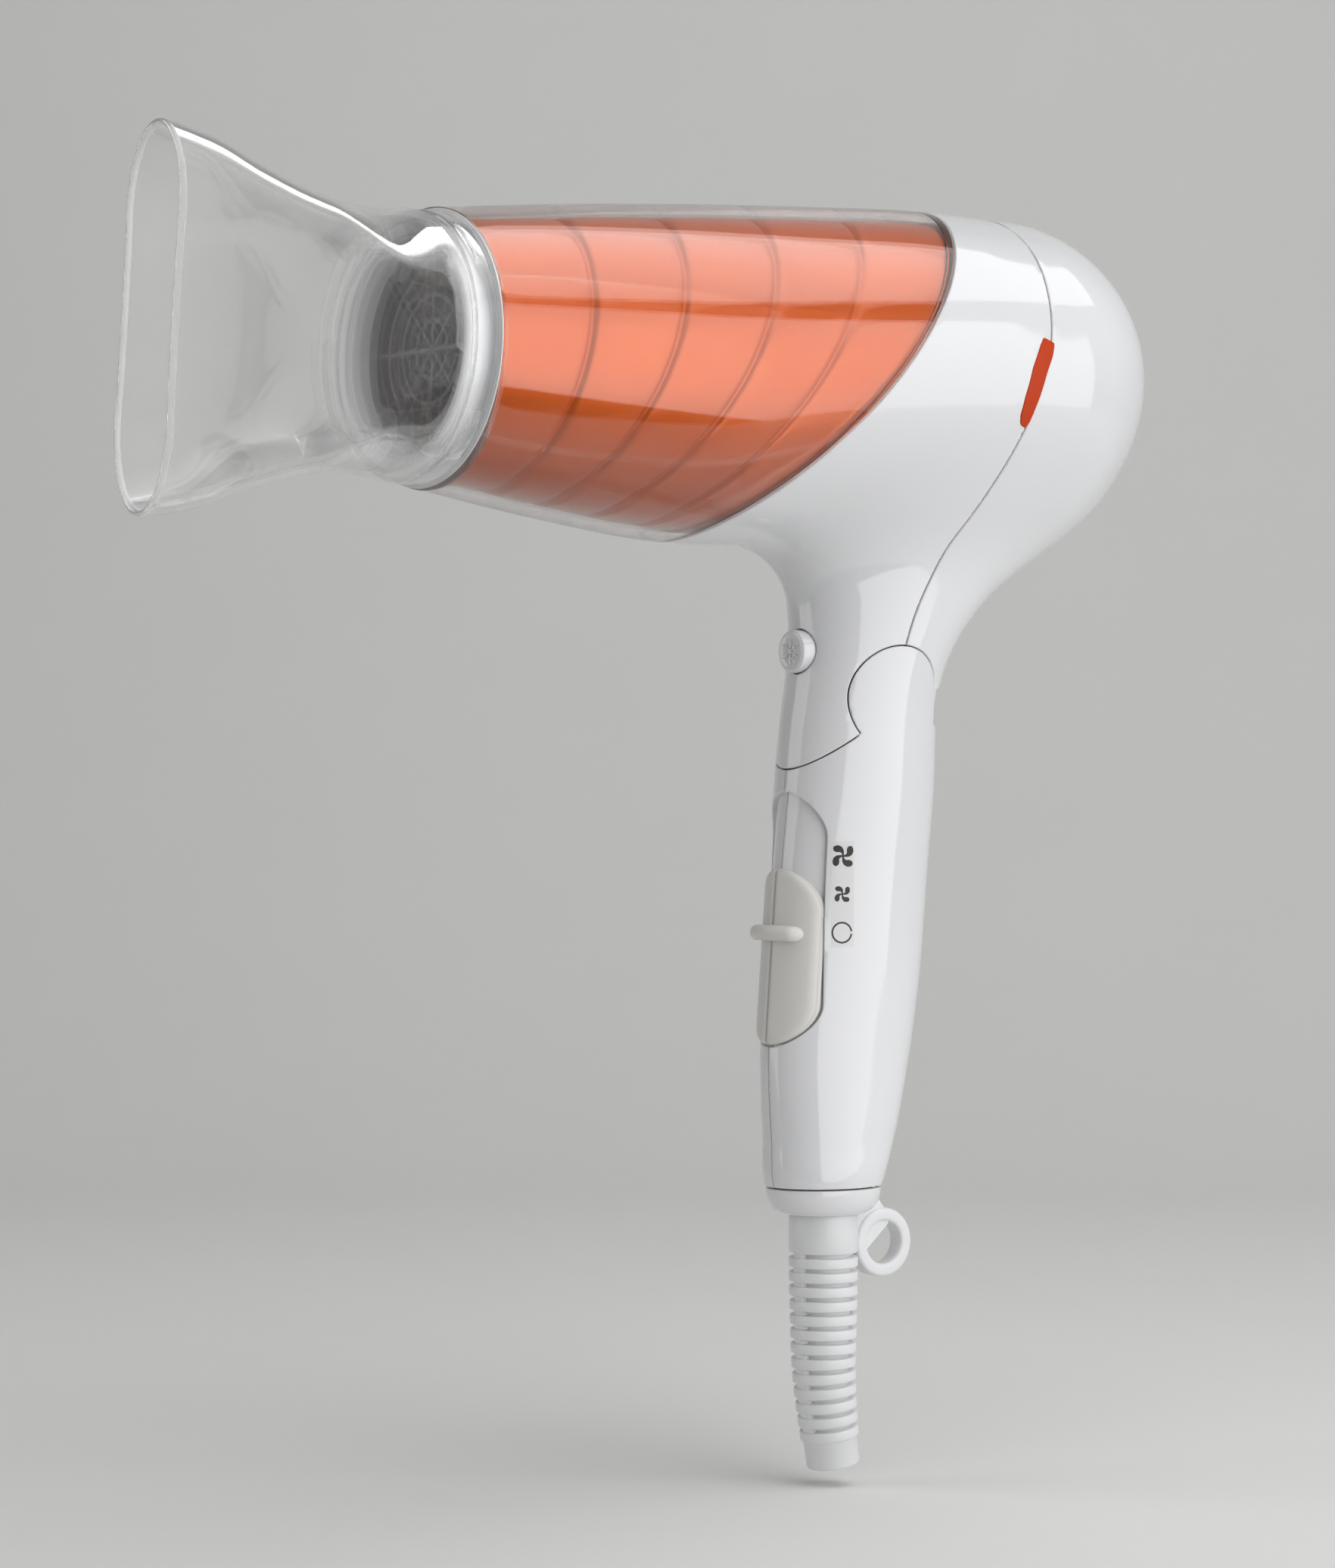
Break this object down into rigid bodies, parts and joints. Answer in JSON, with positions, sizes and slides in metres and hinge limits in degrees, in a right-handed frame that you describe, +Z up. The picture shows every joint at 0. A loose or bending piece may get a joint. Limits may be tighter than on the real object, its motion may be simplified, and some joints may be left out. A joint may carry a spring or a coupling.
{
  "type": "hair dryer",
  "caption": "Folding-handle hair dryer with a clear-covered coloured barrel, flat pull-off nozzle, thumb slider, cool-air button and a hanging loop.",
  "frame": {"origin": "centre of the hanging loop's hole on the strain relief", "axes": "+Z up the handle to the head, +Y along the loop's hole and the fold axis; the nozzle points along -X"},
  "size_m": [0.274, 0.0814, 0.3096],
  "materials": {
    "clear_plastic": "clear, polished",
    "clear_cover": "clear, polished",
    "orange_metallic": "metallic gloss",
    "orange_gloss": "gloss",
    "white_gloss": "high gloss",
    "white_soft": "satin, flexible",
    "slider_grey": "fine matt",
    "grey_plastic": "matt",
    "pale_plastic": "matt",
    "mica": "layered mineral sheet",
    "resistance_wire": "oxidised",
    "steel": "satin",
    "brass": "satin",
    "circuit_green": "solder mask",
    "capacitor_yellow": "gloss",
    "lead_insulation": "satin"
  },
  "bodies": {
    "handle": {"handle_left": "white_gloss", "handle_right": "white_gloss", "handle_screws": "steel", "hinge_pin": "steel", "hinge_washers": "brass", "slide_plate": "grey_plastic", "switch_block": "grey_plastic", "circuit_board": "circuit_green", "suppressor": "capacitor_yellow", "supply_leads": "lead_insulation", "end_cap": "white_gloss", "cord_clamp": "pale_plastic", "strain_relief": "white_soft"},
    "head": {"outlet_ring": "white_gloss", "outlet_grille": "grey_plastic", "barrel_cover": "clear_cover", "barrel_liner": "orange_metallic", "heater_tube": "mica", "heater_boards": "mica", "heater_coils": "resistance_wire", "thermostat": "brass", "thermal_fuse": "steel", "fan_housing": "pale_plastic", "motor": "steel", "front_housing": "white_gloss", "rear_cover": "white_gloss", "filter_mesh": "steel", "side_tabs": "orange_gloss", "button_spring": "steel", "button_switch": "grey_plastic", "fold_tongue": "pale_plastic"},
    "inlet": {"inlet_grille": "white_gloss"},
    "fan": {"impeller": "grey_plastic", "motor_shaft": "steel"},
    "nozzle_turn": {"nozzle_ring": "clear_plastic"},
    "nozzle": {"nozzle": "clear_plastic"},
    "cool_button": {"cool_button": "white_gloss"},
    "thumb_slider": {"thumb_slider": "slider_grey"}
  },
  "joints": [
    {"name": "fold_hinge", "type": "hinge", "parent": "handle", "child": "head", "pos_m": [-0.0055, 0, 0.1315], "axis": [0, 1, 0], "range_deg": [0, 30]},
    {"name": "switch_slide", "type": "slide", "parent": "handle", "child": "thumb_slider", "axis": [0.0767, 0, 0.9971], "range_m": [0, 0.017]},
    {"name": "button_press", "type": "slide", "parent": "head", "child": "cool_button", "axis": [1, 0, 0], "range_m": [0, 0.0015], "stiffness_N_per_m": 900, "springref_m": -0.0006, "deforming": ["button_spring"]},
    {"name": "fan_spin", "type": "hinge", "parent": "head", "child": "fan", "pos_m": [-0.017, 0, 0.21], "axis": [1, 0, 0], "continuous": true},
    {"name": "nozzle_turn", "type": "hinge", "parent": "head", "child": "nozzle_turn", "pos_m": [-0.129, 0, 0.2101], "axis": [-0.9995, 0, 0.0314], "continuous": true},
    {"name": "nozzle_pull", "type": "slide", "parent": "nozzle_turn", "child": "nozzle", "axis": [-0.9995, 0, 0.0314], "range_m": [0, 0.03]},
    {"name": "inlet_pull", "type": "slide", "parent": "head", "child": "inlet", "axis": [1, 0, 0], "range_m": [0, 0.02]}
  ]
}
